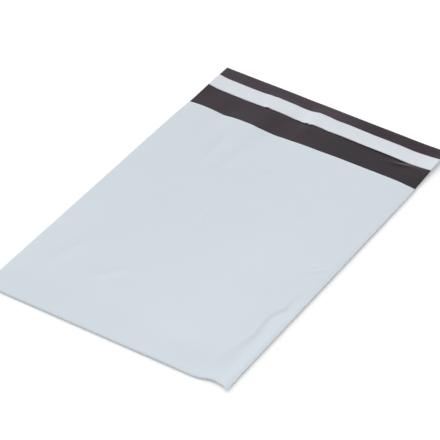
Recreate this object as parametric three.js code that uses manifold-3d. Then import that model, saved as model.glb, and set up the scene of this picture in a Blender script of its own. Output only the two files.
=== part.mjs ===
// A poly mailer bag, flat and empty: one sheet of film folded across the bottom and welded down both sides,
// with a closing lip that carries a strip of adhesive under a release liner.
// Millimetres, +Z up. The bag lies on its back panel. +Y runs from the bottom fold to the lip's edge, and the
// origin is the middle of the footprint, on the surface that the bag lies on.
import * as THREE from "three";
import { mergeVertices } from "three/addons/utils/BufferGeometryUtils.js";
import Module from "manifold-3d";

// The bag, laid flat
const bagWidth = 190;
const pocketDepth = 267; // bottom fold to mouth
const lipLength = 53; // mouth to the lip's edge

// The film and the ways in which it is closed
const filmThickness = 0.06;
const foldRadius = 0.2; // inside the bottom fold
const weldWidth = 1.6; // of each melted side seam
const beadWidth = 0.4; // of the ridge that the hot knife leaves along a seam's cut edge
const beadHeight = 0.2;

// How the empty pocket stands: the height between the panels, and how far from an edge it takes to get there
const pocketGap = 1.4;
const mouthGap = 0.5;
const sideEase = 32;
const foldEase = 45;
const mouthEase = 60;
const mouthRunOut = 1.6; // how far the pocket's space is cut past the mouth, so that it is open there

// The closing strip on the lip
const linerMargin = 12; // lip's edge to the liner
const linerWidth = 16;
const linerThickness = 0.08;
const adhesiveWidth = 11;
const adhesiveThickness = 0.05; // at its crown
const adhesiveEdge = 0.02; // its thickness at either long edge
const seatGap = 0.03; // between parts that lie on each other

// Mesh fineness
const arcSteps = 6;
const easeSteps = 8;
const middleSteps = 4;

const bagLength = pocketDepth + lipLength;
const foldY = -bagLength / 2;
const mouthY = foldY + pocketDepth;
const lipEdgeY = bagLength / 2;
const weldX = bagWidth / 2 - weldWidth; // where a seam ends and the open pocket starts
const linerY = lipEdgeY - linerMargin - linerWidth / 2;

const { lerp } = THREE.MathUtils;
const wasm = await Module();
wasm.setup();

// 0 at an edge, 1 from the given distance on, leaving the edge at a slope and arriving level.
function ease(fromEdge, distance) {
  return Math.sin((Math.PI / 2) * THREE.MathUtils.clamp(fromEdge / distance, 0, 1));
}

// The share of its full height that the pocket has this far across the bag: none in a seam.
function openAcross(x) {
  return ease(weldX - Math.abs(x), sideEase);
}

// The height between the panels at a place across and along the pocket.
function panelGap(x, fromFold) {
  const clearOfMouth = lerp(mouthGap, pocketGap, ease(pocketDepth - fromFold, mouthEase));
  return openAcross(x) * lerp(2 * foldRadius, clearOfMouth, ease(fromFold, foldEase));
}

// What the cut edge's ridge adds to a seam's two melted layers.
function beadAt(x) {
  const fromEdge = bagWidth / 2 - Math.abs(x);
  return (beadHeight - 2 * filmThickness) * (1 - ease(fromEdge, beadWidth));
}

function steps(from, to, count) {
  return Array.from({ length: count }, (_, i) => lerp(from, to, i / count));
}

// Places across the pocket, closer together where its height changes.
function pocketColumns() {
  const levelX = Math.max(weldX - sideEase, 0);
  const half = [...steps(weldX, levelX, easeSteps), ...steps(levelX, 0, middleSteps / 2)];
  return [...half.map((x) => -x), 0, ...half.reverse()];
}

// The same places, with those of both seams outside them.
function bagColumns() {
  const seam = [...steps(bagWidth / 2, bagWidth / 2 - beadWidth, 2), bagWidth / 2 - beadWidth];
  return [...seam.map((x) => -x), ...pocketColumns(), ...seam.reverse()];
}

// One cross line of the layer from bottom to top: a function that gives {y, low, high} at each x.
// Round the bottom fold both surfaces follow a half circle, whose radius shrinks into the seams.
function foldLines(radiusAt, startY, baseZ) {
  return steps(0, Math.PI / 2, arcSteps).map((angle) => (x) => {
    const radius = radiusAt(x);
    return {
      y: startY + radius * (1 - Math.cos(angle)),
      low: baseZ + radius * (1 - Math.sin(angle)),
      high: baseZ + radius * (1 + Math.sin(angle)),
    };
  });
}

// Distances from the fold at which the panels get a cross line, as shares of the pocket's depth.
function panelShares() {
  const afterFold = Math.min(foldEase / pocketDepth, 0.5);
  const beforeMouth = Math.max(1 - mouthEase / pocketDepth, afterFold);
  return [
    ...steps(0, afterFold, easeSteps),
    ...steps(afterFold, beforeMouth, middleSteps),
    ...steps(beforeMouth, 1, easeSteps),
    1,
  ];
}

function panelLines(radiusAt, startY, baseZ, highAt) {
  return panelShares().map((share) => (x) => ({
    y: lerp(startY + radiusAt(x), mouthY, share),
    low: baseZ,
    high: baseZ + highAt(x, share * pocketDepth),
  }));
}

// A closed solid between the low and the high surface of a list of cross lines. Where both meet at a border,
// it closes there to an edge.
function solidBetween(lines, columns) {
  const wide = columns.length;
  const lowPoints = lines.flatMap((line) => columns.map((x) => [x, line(x).y, line(x).low]));
  const highPoints = lines.flatMap((line) => columns.map((x) => [x, line(x).y, line(x).high]));
  const above = lowPoints.length;
  const triangles = [];
  const quad = (a, b, c, d) => triangles.push([a, b, c], [a, c, d]);
  for (let row = 0; row + 1 < lines.length; row++) {
    for (let column = 0; column + 1 < wide; column++) {
      const a = row * wide + column;
      quad(a, a + wide, a + wide + 1, a + 1);
      quad(above + a, above + a + 1, above + a + wide + 1, above + a + wide);
    }
    const left = row * wide;
    const right = left + wide - 1;
    quad(left, above + left, above + left + wide, left + wide);
    quad(right, right + wide, above + right + wide, above + right);
  }
  for (let column = 0; column + 1 < wide; column++) {
    const last = (lines.length - 1) * wide + column;
    quad(column, column + 1, above + column + 1, above + column);
    quad(last, above + last, above + last + 1, last + 1);
  }
  const geometry = new THREE.BufferGeometry();
  const positions = [...lowPoints, ...highPoints].flat();
  geometry.setAttribute("position", new THREE.Float32BufferAttribute(positions, 3));
  geometry.setIndex(triangles.flat());
  return toManifold(geometry);
}

// Merges equal points and drops the triangles that have lost a side.
function toManifold(geometry) {
  const merged = mergeVertices(geometry, 1e-4);
  const index = merged.index.array;
  const kept = [];
  for (let i = 0; i < index.length; i += 3) {
    const [a, b, c] = [index[i], index[i + 1], index[i + 2]];
    if (a !== b && b !== c && c !== a) kept.push(a, b, c);
  }
  const vertProperties = new Float32Array(merged.getAttribute("position").array);
  return new wasm.Manifold(new wasm.Mesh({ numProp: 3, vertProperties, triVerts: new Uint32Array(kept) }));
}

function toGeometry(solid) {
  const { vertProperties, triVerts } = solid.getMesh();
  const geometry = new THREE.BufferGeometry();
  geometry.setAttribute("position", new THREE.BufferAttribute(vertProperties, 3));
  geometry.setIndex(new THREE.BufferAttribute(triVerts, 1));
  geometry.computeVertexNormals();
  return geometry;
}

// The outside of the film: the folded bag as if it were full, and the single layer of the lip beyond the mouth.
function outsideOfFilm() {
  const radiusAt = (x) => filmThickness + foldRadius * openAcross(x);
  const heightAt = (x, fromFold) => 2 * filmThickness + panelGap(x, fromFold) + beadAt(x);
  const lipLines = [mouthY, lipEdgeY].map((y) => () => ({ y, low: 0, high: filmThickness }));
  const lines = [...foldLines(radiusAt, foldY, 0), ...panelLines(radiusAt, foldY, 0, heightAt), ...lipLines];
  return solidBetween(lines, bagColumns());
}

// The empty space of the pocket, one film in from the outside, running out past the mouth.
function insideOfPocket() {
  const radiusAt = (x) => foldRadius * openAcross(x);
  const startY = foldY + filmThickness;
  const pastMouth = (x) => ({
    y: mouthY + mouthRunOut,
    low: filmThickness,
    high: filmThickness + panelGap(x, pocketDepth),
  });
  const lines = [
    ...foldLines(radiusAt, startY, filmThickness),
    ...panelLines(radiusAt, startY, filmThickness, panelGap),
    pastMouth,
  ];
  return solidBetween(lines, pocketColumns());
}

function makeBagFilm() {
  return toGeometry(outsideOfFilm().subtract(insideOfPocket()));
}

// A stripe laid along the lip from one cut side to the other, thinner at its long edges than at its crown.
function makeAdhesiveStrip() {
  const section = new THREE.Shape();
  const side = adhesiveWidth / 2;
  section.moveTo(-side, 0);
  section.lineTo(side, 0);
  section.lineTo(side, adhesiveEdge);
  section.quadraticCurveTo(0, 2 * adhesiveThickness - adhesiveEdge, -side, adhesiveEdge);
  const stripe = new THREE.ExtrudeGeometry(section, { depth: bagWidth, bevelEnabled: false, curveSegments: 6 });
  stripe.translate(0, 0, -bagWidth / 2);
  stripe.rotateX(Math.PI / 2);
  stripe.rotateZ(Math.PI / 2);
  return stripe;
}

function makeReleaseLiner() {
  return new THREE.BoxGeometry(bagWidth, linerWidth, linerThickness);
}

function named(name, geometry, look, y, z) {
  const mesh = new THREE.Mesh(geometry, new THREE.MeshStandardMaterial(look));
  mesh.name = name;
  mesh.position.set(0, y, z);
  return mesh;
}

const adhesiveZ = filmThickness + seatGap;
const linerZ = adhesiveZ + adhesiveThickness + seatGap + linerThickness / 2;

const mailer = new THREE.Group();
mailer.add(
  named("bag_film", makeBagFilm(), { color: 0xd2dbe2, roughness: 0.42, metalness: 0 }, 0, 0),
  named("adhesive_strip", makeAdhesiveStrip(), { color: 0xd8d0b8, roughness: 0.3, metalness: 0 }, linerY, adhesiveZ),
  named("release_liner", makeReleaseLiner(), { color: 0xd7dde3, roughness: 0.5, metalness: 0 }, linerY, linerZ),
);

export default mailer;
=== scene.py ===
import math

import bpy
import numpy as np
from mathutils import Matrix, Vector, noise


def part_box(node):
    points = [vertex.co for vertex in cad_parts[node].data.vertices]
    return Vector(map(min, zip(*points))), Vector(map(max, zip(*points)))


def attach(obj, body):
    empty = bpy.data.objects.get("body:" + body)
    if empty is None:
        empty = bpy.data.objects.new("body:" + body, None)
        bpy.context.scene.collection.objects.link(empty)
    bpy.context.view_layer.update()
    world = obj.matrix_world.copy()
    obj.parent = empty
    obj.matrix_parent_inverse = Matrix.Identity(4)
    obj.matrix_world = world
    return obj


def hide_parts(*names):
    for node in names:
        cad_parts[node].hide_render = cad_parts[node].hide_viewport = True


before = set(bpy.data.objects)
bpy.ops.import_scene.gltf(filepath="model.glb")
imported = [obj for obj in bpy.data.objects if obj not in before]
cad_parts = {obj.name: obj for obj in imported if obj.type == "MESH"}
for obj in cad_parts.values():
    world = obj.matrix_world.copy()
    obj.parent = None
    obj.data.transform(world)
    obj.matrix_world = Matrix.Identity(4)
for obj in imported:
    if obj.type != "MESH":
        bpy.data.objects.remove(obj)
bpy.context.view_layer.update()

# Blender's lengths are in metres. The bag lies on its back panel, with its bottom fold towards -Y and its
# lip towards +Y. The shape functions below work in mm: x across the bag from its middle line, and y from
# the bottom fold.
MM = 0.001
BODY = "root"

# The flat bag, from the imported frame, in mm
film_low, film_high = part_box("bag_film")
liner_low, liner_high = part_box("release_liner")
adhesive_low, adhesive_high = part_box("adhesive_strip")
FOLD_Y = film_low.y  # in metres, as the frame has it
SIDE = film_high.x / MM  # middle line to cut side
LENGTH = (film_high.y - film_low.y) / MM  # bottom fold to the lip's cut edge
LINER = (liner_high.z - liner_low.z) / MM  # thickness of the release liner
ADHESIVE = (adhesive_high.z - adhesive_low.z) / MM  # thickness of the adhesive

# The flat bag, sizes that no box in the frame gives, in mm
MOUTH = 267  # bottom fold to mouth
FILM = 0.06  # thickness of the film
WELD = 1.6  # width of a side seam
SEAM = 0.14  # thickness of a side seam, with both layers melted together
STRIP_MIDDLE = 300  # bottom fold to the middle line of the strips on the lip

# How the empty bag lies, in mm
LAY = 2.0  # of its panels above the floor
REST = 0.15  # of the back panel's middle above the floor
SLACK = 0.1  # least that the back panel hangs below the height of the seams
FILL = 0.35  # how much higher the front panel's middle stands than its sides
SEAM_HANG = 0.2  # how far the right seam hangs below the panels
CORNER_HANG = (0.5, -0.2)  # how far the lower left corner hangs, and the lower right one
CORNER_OUT = 0.45  # how far the lower right corner stands out past the seam

# The lip, in mm
LIP_BELOW = 0.2  # how much lower it lies than the front panel at the mouth
LIP_DRAWN_IN = (0.8, 0.4)  # how far inside the seams its left and its right side lie
FREE_END = 306  # bottom fold to where its free end begins
CALM_END = 0.85  # share of its waves that is gone at its cut edge
CUT_EDGE_LIFT = 0.55  # how far its cut edge stands up
CUT_EDGE_BACK = (0.4, 0.9)  # how far short of its place the cut edge lies, at the left and at the right

# The bottom fold, in mm
FOLD_REST = 1.1  # of the fold above the floor
FOLD_DIP = 0.3  # how much lower the front panel lies at the fold
NOSE = 2.8  # over which the front panel rounds down into the fold
TIGHT = 0.12  # radius of the pressed crease in it
OPENING = (6, 11)  # in from the left and the right side, over which the fold opens to that nose and crease
BUMP = 0.5  # height of the bump beside the right seam
BUMP_AT = 83.5  # across the bag
BUMP_REACH = (8, 12)  # to its left and to its right
PULLED_IN = 3.3  # how far the bump draws the fold up the bag

# The pleat that runs up from the bump, in mm
PLEAT_FOOT = 79.4  # across the bag, at the fold
PLEAT_LEAN = 7.2  # towards the seam, at the height below
PLEAT_HEIGHT = 112  # up the bag
PLEAT_WIDTH = (10, 3.2)  # of its slope, at its foot and further up
PLEAT_DEPTH = 0.45
PLEAT_BENDS = [(52, 11, 1.4), (75, 8, -1.4), (91, 6, 1.8)]  # place up the bag, reach, and how far aside

# Unevenness of the film, in mm: height, size across and along, and a seed of its own
PANEL_WAVES = (0.14, (42, 42), 1.5)
PANEL_RIPPLES = (0.06, (13, 13), 7.5)
SEAM_PUCKERS = (0.07, (30, 3.4), 21.5)
LIP_RIPPLES = (0.08, (20, 14), 3.5)
BACK_WAVES = (0.05, (25, 25), 9.5)
PUCKER_REACH = 4.5  # in from the weld, over which the puckers beside it fade

# Swells, hollows and creases in the film, in mm: place, size across and along, height, and turn in degrees
BROAD_SWELLS = [
    ((60, 118), (26, 34), 0.45, 20),
    ((48, 22), (22, 18), 0.35, 0),
]
FAINT_CREASES = [
    ((-68, 62), (5, 26), -0.34, -14),
    ((-33, 55), (3.2, 13), -0.30, -36),
    ((-31, 222), (3, 17), -0.30, -4),
    ((-49, 234), (4, 30), -0.32, 3),
    ((46, 190), (4, 9), -0.24, 12),
    ((-13, 148), (2.2, 8), 0.22, 8),
    ((-5, 224), (2.2, 2.2), 0.24, 0),
    ((84, 140), (1.6, 8), 0.30, -41),
    ((80, 143), (1.6, 6), 0.20, -44),
]
LIP_HOLLOWS = [
    ((-62, 298), (15, 60), -0.22, 0),
    ((-16, 298), (8, 34), -0.42, 0),
    ((74, 300), (9, 40), -0.28, 0),
]
LIFTED_SIDES = [
    ((-97, STRIP_MIDDLE), (7, 60), 0.75, 0),
    ((97, STRIP_MIDDLE), (7, 30), 0.8, 0),
]
LIFTED_CORNER = ((97, 318), (14, 30), 0.6, 0)
SHORT_RIDGE = ((71, 286.2), (8, 1.9), 0.5, 16)

# Along the mouth, in mm. A hollow or a notch is a place across the bag, a reach and a height
MOUTH_HOLLOWS = [(-66, 9, -0.47), (-26, 8, -0.45), (-13, 13, -0.45)]
MOUTH_RISE = 0.25  # of the long low rise at its right
MOUTH_SWAY = 1.5  # how far its edge moves up the bag for each mm of a wave's height
MOUTH_SHORT = (1.1, 0.7)  # how far short of its place its edge lies, in general and at the right
MOUTH_NOTCHES = [(-95, 5, -0.7), (-64, 3, -0.4), (-35, 4, -0.5), (-19, 4, -0.3), (95, 5, -0.4)]

# Along the strips on the lip, in mm, in the same form
STRIP_SWAY = 0.8  # how far their edges move up the bag for each mm of a wave's height
STRIP_SHORT = 0.75  # how far short of their place they lie
STRIP_DIPS = [(9, 6, -0.6)]
LINER_LOOSE = (0.1, 0.34)  # how far the liner's loose edge stands off, at the middle and at the right
LINER_SPANS = [(-14.5, 4.5, 0.35)]
LINER_TUCK_LIFTS = [(-43.3, 1.5, 0.3), (-9, 1.5, 0.3), (-4.8, 1.5, 0.3)]

# The melted bead along the cut sides, in mm
BEAD = 0.13  # its radius
BEAD_SPACING = 1.1  # between its rings
BEAD_UNEVENNESS = 0.9  # how far its radius ranges, as a share of it
BEAD_BLOB = 4  # length of a thick or a thin stretch
BEAD_INSET = 0.05  # of its middle from the cut side
BEAD_END = 0.6  # short of the bottom fold and of the mouth
BEAD_PATH_POINTS = 180
BEAD_SIDES = 8

# Gaps under the strips on the lip, in mm
ADHESIVE_GAP = 0.01
LINER_GAP = 0.02

# Fineness of the grids
WELD_COLUMNS = (0, 0.125, 0.5, 1, 1.5)  # in from each cut side, in widths of the weld
FINE_AT = [-91.8, -58, -40, -20, 0, 70, 91.8]  # across the bag, in mm: places where the spacing changes
FINE_FROM = [0, 16, 32, 42, 62, 97, 126]  # columns from the left seam up to each of them
FRONT_ROWS = 200
BACK_ROWS = 70
LIP_ROWS = 48
NOSE_ANGLES = np.radians(np.linspace(78, 0, 7))  # round the nose, from the front panel down to the crease
CREASE_ANGLES = np.radians([-30, -60])  # round the crease, on to the back panel
STRIP_COLUMNS = 239
ADHESIVE_ROWS = 9
LINER_ROWS = 13

# Finish of the film: patterns in repeats for each metre
CLOUD_SCALE = 34
WEB_LINE_SCALE = (10, 420, 10)
GRAIN_SCALE = 700
WEB_LINE_SHARE = 0.35  # of the lines in the tone, beside the clouds
WEB_LINE_RELIEF = 3.0  # how much deeper the lines are than the grain
SATIN_RANGE = 0.06  # of the roughness, to each side

# Camera: the photograph's viewing angle
CAMERA_AZIMUTH = math.radians(28.225)
CAMERA_ELEVATION = math.radians(37.286)
CAMERA_ROLL = math.radians(4.309)
CAMERA_DISTANCE = 1883.72 * MM
CAMERA_TARGET = Vector((-1.252 * MM, -6.791 * MM, LAY * MM))
CAMERA_LENS = 219.6  # in mm, as is the sensor's width
CAMERA_SENSOR = 36
CAMERA_NEAREST = 0.05  # in metres, as is the farthest that it sees
CAMERA_FARTHEST = 50

# Light: an even soft key from beyond the bag's left side, and a pale room all round
KEY_TOWARDS = Vector((-0.62, 0.42, 0.66))
KEY_STRENGTH = 1.85
KEY_SPREAD = math.radians(90)
WORLD_LIGHT = 0.5  # of the room as a light, where 1 is how bright it looks
FLOOR_REACH = 30  # in metres, from the bag to each side of the floor
FLOOR_LIFT = 0.22  # white that the floor gives off where the camera sees it
FLOOR_COLOUR = 0.93


def make_camera():
    """A long lens above the bag's lower right corner, a little rolled, as the photograph was taken."""
    back = Vector((
        math.sin(CAMERA_AZIMUTH) * math.cos(CAMERA_ELEVATION),
        -math.cos(CAMERA_AZIMUTH) * math.cos(CAMERA_ELEVATION),
        math.sin(CAMERA_ELEVATION),
    ))
    right = Vector((0, 0, 1)).cross(back).normalized()
    up = back.cross(right)
    turn = Matrix.Rotation(CAMERA_ROLL, 3, back)
    axes = Matrix((turn @ right, turn @ up, back)).transposed().to_4x4()
    data = bpy.data.cameras.new("camera")
    data.lens = CAMERA_LENS
    data.sensor_width = CAMERA_SENSOR
    data.clip_start = CAMERA_NEAREST
    data.clip_end = CAMERA_FARTHEST
    camera = bpy.data.objects.new("camera", data)
    camera.matrix_world = Matrix.Translation(CAMERA_TARGET + back * CAMERA_DISTANCE) @ axes
    bpy.context.scene.collection.objects.link(camera)
    bpy.context.scene.camera = camera


def smooth(value):
    """0 below 0, 1 above 1, and an even rise between."""
    value = np.clip(value, 0.0, 1.0)
    return value * value * (3 - 2 * value)


def ramp(value, start, end):
    """0 before the start, 1 past the end, and an even rise between. The end may be the lower of the two."""
    return smooth((value - start) / (end - start))


def blend(a, b, share):
    """From a, where the share is 0, to b, where it is 1."""
    return a + (b - a) * share


def humps(v, places):
    """Soft humps and hollows along a line, each given by its place, its reach and its height."""
    return sum(height * np.exp(-((v - at) / reach) ** 2) for at, reach, height in places)


def swells(x, y, places):
    """Soft swells and hollows in the film, each given as in the lists of them above."""
    return sum(swell(x, y, *place) for place in places)


def swell(x, y, at, size, height, turn):
    """One soft swell, or a hollow where the height is negative. at and size are across and along."""
    angle = math.radians(turn)
    dx, dy = x - at[0], y - at[1]
    across = (dx * math.cos(angle) + dy * math.sin(angle)) / size[0]
    along = (dy * math.cos(angle) - dx * math.sin(angle)) / size[1]
    return height * np.exp(-across * across - along * along)


def crease(x, y, at, slant, rise, height, settle):
    """A sharp crease over the lip: the film bends up, rounds over the rise and settles back more slowly."""
    past = x - at - slant * (y - STRIP_MIDDLE)
    short = 1 - np.clip(past / rise, 0, 1)
    return height * (1 - short * short) * np.clip(1 - (past - rise) / settle, 0, 1)


def unevenness(x, y, height, size, seed):
    """Gentle unevenness of the film, up and down by about the height. size is across and along."""
    flat = [noise.noise(Vector((a / size[0], b / size[1], seed))) for a, b in zip(x.ravel(), y.ravel())]
    return height * np.array(flat).reshape(x.shape)


def lip_waves(x, y):
    """Height of the lip's waves: its two sharp creases, the hollows beside them and its lifted sides."""
    left_crease = crease(x, y, at=-50, slant=-0.55, rise=6, height=0.42, settle=30)
    middle_crease = crease(x, y, at=-13.5, slant=-0.1, rise=8, height=0.78, settle=46)
    return left_crease + middle_crease + swells(x, y, LIP_HOLLOWS) + swells(x, y, LIFTED_SIDES)


def mouth_waves(x):
    """Height of the waves that cross the mouth: hollows at the left, and a low rise at the right."""
    return humps(x, MOUTH_HOLLOWS) + MOUTH_RISE * ramp(x, 12, 32) * (1 - ramp(x, 76, 92))


def mouth_wander(x):
    """How far the mouth's edge strays from its place: as the waves under it do, and down at both seams."""
    return MOUTH_SWAY * mouth_waves(x) - blend(*MOUTH_SHORT, ramp(x, 50, 70)) + humps(x, MOUTH_NOTCHES)


def strip_wander(x):
    """How far the strips on the lip stray from their place, where the lip under them is creased."""
    waves = lip_waves(x, STRIP_MIDDLE) - swells(x, STRIP_MIDDLE, LIFTED_SIDES)
    return STRIP_SWAY * waves - STRIP_SHORT + humps(x, STRIP_DIPS)


def bump_share(x):
    """The small bump beside the right seam, where the pleat runs into the bottom fold: 1 at its middle."""
    reach = np.where(x < BUMP_AT, *BUMP_REACH)
    return np.exp(-((x - BUMP_AT) / reach) ** 2) * ramp(x, SIDE + 0.5, SIDE - 4.5)


def pleat_height(x, y):
    """The long pressed line that runs up the bag beside the right seam, and the bump at its foot."""
    line = PLEAT_FOOT + PLEAT_LEAN * (y / PLEAT_HEIGHT) ** 2 + humps(y, PLEAT_BENDS)
    width = blend(*PLEAT_WIDTH, ramp(y, 18, 60))
    past = x - line + width / 2
    depth = PLEAT_DEPTH * (1 - ramp(y, 80, 125)) * ramp(y, 0, 13)
    pressed = depth * smooth(past / width) * (1 - ramp(past - width, 0, 9))
    return BUMP * bump_share(x) * (1 - ramp(y, 0, 25)) - pressed


def seam_drop(x, y):
    """How far the right seam and the lower left corner hang. The lower right corner stands up a little."""
    right = SEAM_HANG * (1 - ramp(SIDE - x, 0, 2.5)) * (1 - ramp(y, 262, 288))
    corner = np.where(x < 0, *CORNER_HANG) * (1 - ramp(SIDE - np.abs(x), 0, 9)) * (1 - ramp(y, 0, 14))
    return right + corner


def lay(x, y):
    """Height of the bag's two layers where they lie together."""
    at_mouth = np.where(y < MOUTH, ramp(y, 215, MOUTH), 1 - ramp(y, MOUTH, MOUTH + 22))
    in_lip = ramp(y, 265, 290) * (1 - CALM_END * ramp(y, FREE_END, LENGTH))
    waves = mouth_waves(x) * at_mouth + lip_waves(x, y) * in_lip
    return LAY + waves - seam_drop(x, y)


def puckers(x, y):
    """Small ripples that run in from both side seams, where the film has shrunk beside the weld."""
    from_side = SIDE - np.abs(x)
    share = np.exp(-np.clip(from_side - WELD, 0, None) / PUCKER_REACH) * ramp(from_side, 0, 1.5)
    return share * unevenness(x, y, *SEAM_PUCKERS)


def front_height(x, y):
    """Height of the front panel's outer face."""
    from_side = SIDE - np.abs(x)
    fill = FILL * np.sin(np.pi / 2 * np.clip(from_side / 30, 0, 1)) * ramp(y, 0, 30)
    at_fold = FOLD_DIP * (1 - ramp(y, 0, 25)) * ramp(from_side, 0, 9)
    dents = swells(x, y, BROAD_SWELLS + FAINT_CREASES) * ramp(y, 258, 234)
    uneven = unevenness(x, y, *PANEL_WAVES) + unevenness(x, y, *PANEL_RIPPLES)
    rough = uneven * ramp(from_side, 0, 8)
    return lay(x, y) + fill - at_fold + pleat_height(x, y) + dents + rough + puckers(x, y)


def lip_height(x, y):
    """Height of the lip's outer face, under its dark inner face."""
    raised = swells(x, y, [LIFTED_CORNER, SHORT_RIDGE])
    rough = unevenness(x, y, *LIP_RIPPLES) * ramp(y, 262, 277)
    cut_edge = CUT_EDGE_LIFT * ramp(y, FREE_END, FREE_END + 16)
    return lay(x, y) - LIP_BELOW + raised + rough + cut_edge


def back_height(x, y):
    """Height of the back panel's outer face: held up by the seams at its sides, and resting elsewhere."""
    seam = front_height(x, np.minimum(y, MOUTH)) - SEAM
    lifted = (FOLD_REST - REST + BUMP * bump_share(x)) * (1 - ramp(y, 0, 30))
    rest = REST + lifted + unevenness(x, y, *BACK_WAVES)
    pocket = blend(seam, np.minimum(rest, seam - SLACK), ramp(SIDE - WELD - np.abs(x), 0, 12))
    return blend(pocket, lip_height(x, y), ramp(y, 240, MOUTH))


def film_columns():
    """Places across the bag, closer together in the side seams."""
    weld = [SIDE - share * WELD for share in WELD_COLUMNS]
    middle = np.interp(np.arange(FINE_FROM[-1] + 1), FINE_FROM, FINE_AT)
    return np.concatenate([[-v for v in weld], middle, weld[::-1]])


def drawn_in(x, y):
    """Places across the bag: in a little at both sides of the lip, and out at the lower right corner."""
    left, right = LIP_DRAWN_IN
    lip = (left * ramp(x, 0, -SIDE) - right * ramp(x, 0, SIDE)) * ramp(y, 235, 285)
    return x + lip + CORNER_OUT * ramp(x, 82, 95) * (1 - ramp(y, 0, 20))


def film_surface():
    """The outer face of the folded sheet as rows of points: mouth, front panel, fold, back panel, lip."""
    x = film_columns()
    level = 0 * x
    open_share = ramp(SIDE - np.abs(x), 0, np.where(x < 0, *OPENING))
    pulled_in = PULLED_IN * bump_share(x)
    nose = blend(SEAM / 2, NOSE, open_share)
    radius = blend(SEAM / 2, TIGHT, open_share)
    top = front_height(x, level)
    crease_z = back_height(x, level) + radius
    rows = []

    def add(y, z):
        rows.append(np.stack([drawn_in(x, y), y, z], 1))

    for share in np.linspace(1, 0, FRONT_ROWS):
        y = blend(pulled_in + nose, MOUTH + mouth_wander(x), share)
        add(y, front_height(x, MOUTH * share + level))
    for angle in NOSE_ANGLES:
        add(pulled_in + nose * (1 - math.cos(angle)), blend(crease_z, top, math.sin(angle)))
    for angle in CREASE_ANGLES:
        add(pulled_in + radius * (1 - math.cos(angle)), crease_z + radius * math.sin(angle))
    for share in np.linspace(0, 1, BACK_ROWS):
        y = blend(pulled_in + TIGHT, MOUTH + level, share)
        add(y, back_height(x, MOUTH * share + level))
    for share in np.linspace(0, 1, LIP_ROWS + 1)[1:]:
        flat_y = blend(MOUTH, LENGTH, share) + level
        drawn_back = blend(*CUT_EDGE_BACK, ramp(x, -60, 30)) * ramp(flat_y, FREE_END, LENGTH)
        add(flat_y - drawn_back, back_height(x, flat_y))
    return np.array(rows)


def finish_mesh(piece):
    """Keeps a piece's modified mesh and removes its modifiers."""
    graph = bpy.context.evaluated_depsgraph_get()
    made = bpy.data.meshes.new_from_object(piece.evaluated_get(graph))
    piece.modifiers.clear()
    piece.data = made
    made.name = piece.name


def grid_object(name, points, materials, thickness, inner_material=0):
    """A sheet through a grid of points, given its thickness on the inner side."""
    high, wide = points.shape[:2]
    place = points.reshape(-1, 3) * MM
    place[:, 1] += FOLD_Y
    number = np.arange(high * wide).reshape(high, wide)
    faces = np.stack([number[:-1, :-1], number[1:, :-1], number[1:, 1:], number[:-1, 1:]], -1).reshape(-1, 4)
    mesh = bpy.data.meshes.new(name)
    mesh.from_pydata(place.tolist(), [], faces.tolist())
    for material in materials:
        mesh.materials.append(material)
    mesh.polygons.foreach_set("use_smooth", [True] * len(mesh.polygons))
    piece = bpy.data.objects.new(name, mesh)
    bpy.context.scene.collection.objects.link(piece)
    wall = piece.modifiers.new("wall", "SOLIDIFY")
    wall.thickness = thickness * MM
    wall.offset = -1
    wall.use_rim = True
    wall.material_offset = inner_material
    wall.material_offset_rim = 0
    finish_mesh(piece)
    return piece


def make_bag_film(materials):
    """The whole bag as one folded sheet, pale outside and dark inside."""
    film = grid_object("bag_film_sheet", film_surface(), materials, FILM, inner_material=1)
    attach(film, BODY)
    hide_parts("bag_film")


def add_node(tree, kind, inputs, **settings):
    """A new node in a tree. Each of its inputs gets a plain value, or a link from another node."""
    node = tree.nodes.new(kind)
    for name, value in settings.items():
        setattr(node, name, value)
    for socket, value in inputs.items():
        if isinstance(value, bpy.types.NodeSocket):
            tree.links.new(value, node.inputs[socket])
        else:
            node.inputs[socket].default_value = value
    return node


def maths(tree, operation, *terms, clamp=False):
    """The result of a Math node, whose terms are plain numbers or other nodes' outputs."""
    node = add_node(tree, "ShaderNodeMath", dict(enumerate(terms)), operation=operation, use_clamp=clamp)
    return node.outputs["Value"]


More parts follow.
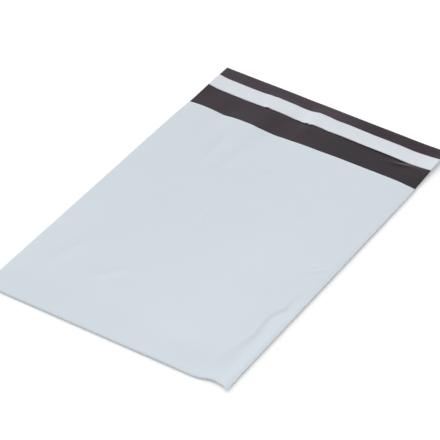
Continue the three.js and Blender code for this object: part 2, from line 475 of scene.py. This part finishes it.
def bead_tree(material):
    """Geometry nodes for the bead that a hot knife melts along a cut side: a thread of uneven thickness."""
    tree = bpy.data.node_groups.new("melted_bead", "GeometryNodeTree")
    face = tree.interface
    face.new_socket("Path", in_out="INPUT", socket_type="NodeSocketGeometry")
    for name in ("Radius", "Spacing", "Unevenness", "Blob Size"):
        face.new_socket(name, in_out="INPUT", socket_type="NodeSocketFloat")
    face.new_socket("Bead", in_out="OUTPUT", socket_type="NodeSocketGeometry")
    given = tree.nodes.new("NodeGroupInput").outputs

    path = add_node(tree, "GeometryNodeMeshToCurve", {"Mesh": given["Path"]})
    steps = {"Curve": path.outputs["Curve"], "Length": given["Spacing"]}
    even = add_node(tree, "GeometryNodeResampleCurve", steps, mode="LENGTH")

    place = tree.nodes.new("GeometryNodeInputPosition")
    blobs = add_node(tree, "ShaderNodeTexNoise", {
        "Vector": place.outputs["Position"],
        "Scale": maths(tree, "DIVIDE", 1.0, given["Blob Size"]),
        "Detail": 1.0,
    })
    centred = maths(tree, "SUBTRACT", blobs.outputs["Fac"], 0.5)
    uneven = maths(tree, "MULTIPLY_ADD", centred, given["Unevenness"], 1.0)

    ring = add_node(tree, "GeometryNodeCurvePrimitiveCircle", {"Resolution": BEAD_SIDES, "Radius": 1.0})
    thread = add_node(tree, "GeometryNodeCurveToMesh", {
        "Curve": even.outputs["Curve"],
        "Profile Curve": ring.outputs["Curve"],
        "Scale": maths(tree, "MULTIPLY", uneven, given["Radius"]),
        "Fill Caps": True,
    })

    shade = add_node(tree, "GeometryNodeSetShadeSmooth", {"Geometry": thread.outputs["Mesh"]})
    finish = {"Geometry": shade.outputs["Geometry"], "Material": material}
    coated = add_node(tree, "GeometryNodeSetMaterial", finish)
    real = add_node(tree, "GeometryNodeRealizeInstances", {"Geometry": coated.outputs["Geometry"]})
    add_node(tree, "NodeGroupOutput", {"Bead": real.outputs["Geometry"]})
    return tree


def make_seam_beads(material):
    """The melted beads along both cut sides, from the bottom fold to the mouth."""
    points, edges = [], []
    for side in (-1, 1):
        y = np.linspace(BEAD_END, MOUTH - BEAD_END, BEAD_PATH_POINTS)
        x = side * (SIDE - BEAD_INSET) + 0 * y
        z = front_height(x, y) - SEAM / 2
        pulled = y + mouth_wander(x) * y / MOUTH
        first = len(points)
        points += [(a * MM, b * MM + FOLD_Y, c * MM) for a, b, c in zip(drawn_in(x, y), pulled, z)]
        edges += [(n, n + 1) for n in range(first, len(points) - 1)]
    mesh = bpy.data.meshes.new("side_seam_beads")
    mesh.from_pydata(points, edges, [])
    beads = bpy.data.objects.new("side_seam_beads", mesh)
    bpy.context.scene.collection.objects.link(beads)
    maker = beads.modifiers.new("bead", "NODES")
    maker.node_group = bead_tree(material)
    sizes = {
        "Radius": BEAD * MM,
        "Spacing": BEAD_SPACING * MM,
        "Unevenness": BEAD_UNEVENNESS,
        "Blob Size": BEAD_BLOB * MM,
    }
    for socket in maker.node_group.interface.items_tree:
        if socket.name in sizes:
            maker[socket.identifier] = sizes[socket.name]
    finish_mesh(beads)
    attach(beads, BODY)


def tuck(x, at, rise):
    """A small sharp step in a strip's long edge, which it leaves and comes back to slowly."""
    past = x - at
    return rise * (smooth(past + 0.5) - np.clip((past + 6) / 12, 0, 1))


def tucks(x, share):
    """The tucks in the strips, from their lower long edge (share 0) to their upper one (share 1)."""
    both = tuck(x, at=-43.6, rise=0.4) + humps(x, [(-97, 6, 0.9)])
    lower = (
        tuck(x, at=-43.6, rise=0.2)
        + tuck(x, at=-9.3, rise=0.9)
        + tuck(x, at=-4.7, rise=0.7)
        + humps(x, [(-7, 5, -1.1), (-6, 1.2, -0.3)])
    )
    upper = tuck(x, at=-8.8, rise=0.45) + humps(x, [(-11, 3, -0.3)])
    return both + blend(lower, upper, share)


def lying_flat(x, share):
    """No lift: the strip follows what is under it all over."""
    return 0 * x


def lip_strip(y_low, y_high, rows, top, lift=lying_flat):
    """Points of a strip that lies along the lip, from its lower long edge to its upper one. top is how far
    its upper face stands above the lip's dark face, before any lift."""
    x = np.linspace(-SIDE, SIDE, STRIP_COLUMNS)
    made = []
    for share in np.linspace(0, 1, rows):
        y = blend(y_low, y_high, share) + 0 * x
        z = lip_height(x, y) + FILM + top + lift(x, share)
        made.append(np.stack([drawn_in(x, y), y + strip_wander(x) + tucks(x, share), z], 1))
    return np.array(made)


def make_adhesive(material):
    """The band of adhesive on the lip's dark face, hidden under the liner."""
    y_low = (adhesive_low.y - FOLD_Y) / MM
    y_high = (adhesive_high.y - FOLD_Y) / MM
    points = lip_strip(y_low, y_high, ADHESIVE_ROWS, ADHESIVE_GAP + ADHESIVE)
    strip = grid_object("adhesive_band", points, [material], ADHESIVE)
    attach(strip, BODY)
    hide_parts("adhesive_strip")


def liner_lift(x, share):
    """Where the liner spans the hollow beside the lip's crease, and where its lower edge has come away."""
    loose = blend(*LINER_LOOSE, ramp(x, 0, 60)) * ramp(x, -4, 6) * (1 - ramp(x, 71, 77))
    at_tucks = humps(x, LINER_TUCK_LIFTS)
    at_lower_edge = loose * (1 - ramp(share, 0, 0.35)) + at_tucks * (1 - ramp(share, 0, 0.2))
    return humps(x, LINER_SPANS) + at_lower_edge


def make_release_liner(material):
    """The pale strip over the adhesive, which follows the crumpled lip."""
    y_low = (liner_low.y - FOLD_Y) / MM
    y_high = (liner_high.y - FOLD_Y) / MM
    top = ADHESIVE_GAP + ADHESIVE + LINER_GAP + LINER
    points = lip_strip(y_low, y_high, LINER_ROWS, top, liner_lift)
    liner = grid_object("release_liner_strip", points, [material], LINER)
    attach(liner, BODY)
    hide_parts("release_liner")


def new_material(name):
    """A new material, its node tree and its shader."""
    material = bpy.data.materials.new(name)
    material.use_nodes = True
    tree = material.node_tree
    shader = next(node for node in tree.nodes if node.type == "BSDF_PRINCIPLED")
    return material, tree, shader


def linear(red, green, blue):
    """A colour from its 0 to 255 screen values."""
    def channel(v):
        v /= 255
        return v / 12.92 if v <= 0.04045 else ((v + 0.055) / 1.055) ** 2.4
    return (channel(red), channel(green), channel(blue), 1.0)


def noise_pattern(tree, place, scale, detail, roughness=0.5):
    """The values of a noise over the object."""
    sizes = {"Vector": place, "Scale": scale, "Detail": detail, "Roughness": roughness}
    return add_node(tree, "ShaderNodeTexNoise", sizes).outputs["Fac"]


def painted_light_drift(tree, place, colour, painted_drifts):
    """The colour, slowly stronger or weaker over the bag: painted light, standing in for sheen on the film
    that changes over it. A drift is an axis, two places on it in mm from the bag's middle, and the strength
    at each."""
    split = add_node(tree, "ShaderNodeSeparateXYZ", {"Vector": place})
    for axis, start, end, at_start, at_end in painted_drifts:
        strength = add_node(tree, "ShaderNodeMapRange", {
            "Value": split.outputs[axis],
            "From Min": start * MM,
            "From Max": end * MM,
            "To Min": at_start,
            "To Max": at_end,
        }, interpolation_type="SMOOTHSTEP")
        scaled = {"Vector": colour, "Scale": strength.outputs["Result"]}
        colour = add_node(tree, "ShaderNodeVectorMath", scaled, operation="SCALE").outputs["Vector"]
    return colour


def painted_highlight(tree, place, colour, at, size, turn, tone):
    """The colour, with a painted highlight: a short streak of another tone, where the glossy film would
    catch the light. at and size are in mm, across the bag and up it from the bottom fold, and turn is in
    degrees."""
    around = add_node(tree, "ShaderNodeMapping", {
        "Location": (at[0] * MM, FOLD_Y + at[1] * MM, LAY * MM),
        "Rotation": (0, 0, math.radians(turn)),
        "Scale": (size[0] * MM, size[1] * MM, 1),
        "Vector": place,
    }, vector_type="TEXTURE")
    there = {"Vector": around.outputs["Vector"]}
    spot = add_node(tree, "ShaderNodeTexGradient", there, gradient_type="SPHERICAL")
    mark = {"A": colour, "B": linear(*tone), "Factor": spot.outputs["Fac"]}
    return add_node(tree, "ShaderNodeMix", mark, data_type="RGBA").outputs["Result"]


def film_material(
    name, dark, pale, roughness, relief_depth, gloss=0.5, mottle=(3, 0.5), painted_drifts=(), painted_highlights=()
):
    """Blown film: a cloudy tone, faint lines along the web, and a satin gloss over a fine grain. mottle is
    how many finer clouds lie in the broad ones, and how strong each is beside the one before. The drift and
    highlight arguments are painted light, slow changes of tone over the bag and painted highlights, in the
    forms that the two functions above take; a highlight is its place, its size, its turn and its tone."""
    material, tree, shader = new_material(name)
    shader.inputs["Specular IOR Level"].default_value = gloss
    place = tree.nodes.new("ShaderNodeTexCoord").outputs["Object"]
    along_web = add_node(tree, "ShaderNodeMapping", {"Vector": place, "Scale": WEB_LINE_SCALE})
    clouds = noise_pattern(tree, place, CLOUD_SCALE, *mottle)
    lines = noise_pattern(tree, along_web.outputs["Vector"], scale=1, detail=3)
    fine = noise_pattern(tree, place, GRAIN_SCALE, detail=3)

    both = {"A": clouds, "B": lines, "Factor": WEB_LINE_SHARE}
    mixed = add_node(tree, "ShaderNodeMix", both, data_type="FLOAT").outputs["Result"]
    tones = {"A": linear(*dark), "B": linear(*pale), "Factor": mixed}
    tone = add_node(tree, "ShaderNodeMix", tones, data_type="RGBA").outputs["Result"]
    # Painted light: the drifts darken or lighten the tone where the sheen changes, and the highlights paint
    # pale streaks where the film would catch the light.
    colour = painted_light_drift(tree, place, tone, painted_drifts)
    for at, size, turn, shade in painted_highlights:
        colour = painted_highlight(tree, place, colour, at, size, turn, shade)
    tree.links.new(colour, shader.inputs["Base Color"])

    satin = add_node(tree, "ShaderNodeMapRange", {
        "Value": mixed,
        "To Min": roughness - SATIN_RANGE,
        "To Max": roughness + SATIN_RANGE,
    })
    tree.links.new(satin.outputs["Result"], shader.inputs["Roughness"])

    relief = add_node(tree, "ShaderNodeBump", {
        "Height": maths(tree, "MULTIPLY_ADD", lines, WEB_LINE_RELIEF, fine),
        "Distance": relief_depth * MM,
        "Strength": 1.0,
    })
    tree.links.new(relief.outputs["Normal"], shader.inputs["Normal"])
    return material


def pale_film():
    """The bag's outside: a pale cold grey. Painted light makes it a little paler towards its right side and
    its bottom fold, against the key's sheen, which falls off towards them.
    """
    return film_material(
        "pale_film_outside", dark=(210, 219, 228), pale=(216, 225, 232),
        roughness=0.5, relief_depth=0.004, gloss=0.35,
        # painted light: a little paler to the right and towards the bottom fold, against the key's sheen
        painted_drifts=[("X", -90, 90, 0.985, 1.02), ("Y", -150, 100, 1.02, 0.98)],
    )


def dark_film():
    """The bag's inside, seen on the lip: near black and blotchy. Painted light makes it darker towards the
    right and paler above the liner, where its sheen changes, and a painted highlight adds a pale streak and
    a faint patch just below the liner near the right seam.
    """
    # painted highlights: a pale streak and a faint paler patch where the glossy dark film would catch the
    # light
    streak = ((75.5, 288.6), (11, 1.3), 16, (110, 105, 110))
    patch = ((84, 290.2), (11, 3), -2, (66, 60, 66))
    return film_material(
        "dark_film_inside", dark=(42, 34, 41), pale=(66, 57, 64),
        roughness=0.40, relief_depth=0.006, gloss=0.06, mottle=(5, 0.8),
        # painted light: darker to the right of the middle and paler above the liner, as the sheen on the
        # dark film changes
        painted_drifts=[("X", 0, 40, 1.0, 0.68), ("Y", 132, 148, 1.0, 1.4)],
        painted_highlights=[streak, patch],
    )


def liner_film():
    """The release liner: a smoother film, with no drift in its tone."""
    return film_material(
        "release_liner_film", dark=(210, 216, 223), pale=(216, 222, 228),
        roughness=0.4, relief_depth=0.003,
    )


def tacky_adhesive():
    """The adhesive: a yellowish white, shinier than the film and with a deeper grain."""
    return film_material(
        "tacky_adhesive", dark=(206, 198, 176), pale=(216, 208, 188),
        roughness=0.25, relief_depth=0.02,
    )


def white_floor():
    """A white sheet that takes the bag's shadow, lifted to white where the camera sees it unshaded."""
    material, tree, shader = new_material("white_floor")
    shader.inputs["Base Color"].default_value = (FLOOR_COLOUR, FLOOR_COLOUR, FLOOR_COLOUR, 1)
    shader.inputs["Roughness"].default_value = 1.0
    shader.inputs["Specular IOR Level"].default_value = 0.0
    shader.inputs["Emission Color"].default_value = (1, 1, 1, 1)
    path = tree.nodes.new("ShaderNodeLightPath").outputs
    lift = maths(tree, "MULTIPLY", path["Is Camera Ray"], FLOOR_LIFT)
    tree.links.new(lift, shader.inputs["Emission Strength"])
    return material


def make_floor():
    """The floor that the bag lies on."""
    mesh = bpy.data.meshes.new("floor")
    corners = [(x * FLOOR_REACH, y * FLOOR_REACH, 0) for x, y in ((-1, -1), (1, -1), (1, 1), (-1, 1))]
    mesh.from_pydata(corners, [], [(0, 1, 2, 3)])
    mesh.materials.append(white_floor())
    floor = bpy.data.objects.new("floor", mesh)
    bpy.context.scene.collection.objects.link(floor)


def make_room():
    """The pale room: white where it is seen or mirrored, and dimmer as a light."""
    world = bpy.data.worlds.new("studio")
    world.use_nodes = True
    tree = world.node_tree
    background = tree.nodes["Background"]
    background.inputs["Color"].default_value = (1, 1, 1, 1)
    path = tree.nodes.new("ShaderNodeLightPath").outputs
    seen = maths(tree, "ADD", path["Is Camera Ray"], path["Is Glossy Ray"])
    any_seen = maths(tree, "ADD", seen, path["Is Transmission Ray"], clamp=True)
    dimmed = {"Value": any_seen, "To Min": WORLD_LIGHT, "To Max": 1.0}
    level = add_node(tree, "ShaderNodeMapRange", dimmed)
    tree.links.new(level.outputs["Result"], background.inputs["Strength"])
    bpy.context.scene.world = world


def make_key_light():
    """The even soft key, from the left and beyond the lip."""
    lamp = bpy.data.lights.new("soft_key", "SUN")
    lamp.energy = KEY_STRENGTH
    lamp.angle = KEY_SPREAD
    key = bpy.data.objects.new("soft_key", lamp)
    key.location = KEY_TOWARDS
    key.rotation_mode = "QUATERNION"
    key.rotation_quaternion = KEY_TOWARDS.to_track_quat("Z", "Y")
    bpy.context.scene.collection.objects.link(key)


bpy.context.scene.view_settings.view_transform = "Standard"
make_camera()
make_floor()
make_room()
make_key_light()
outside = pale_film()
inside = dark_film()
liner_finish = liner_film()
adhesive_finish = tacky_adhesive()
make_bag_film([outside, inside])
make_seam_beads(outside)
make_adhesive(adhesive_finish)
make_release_liner(liner_finish)
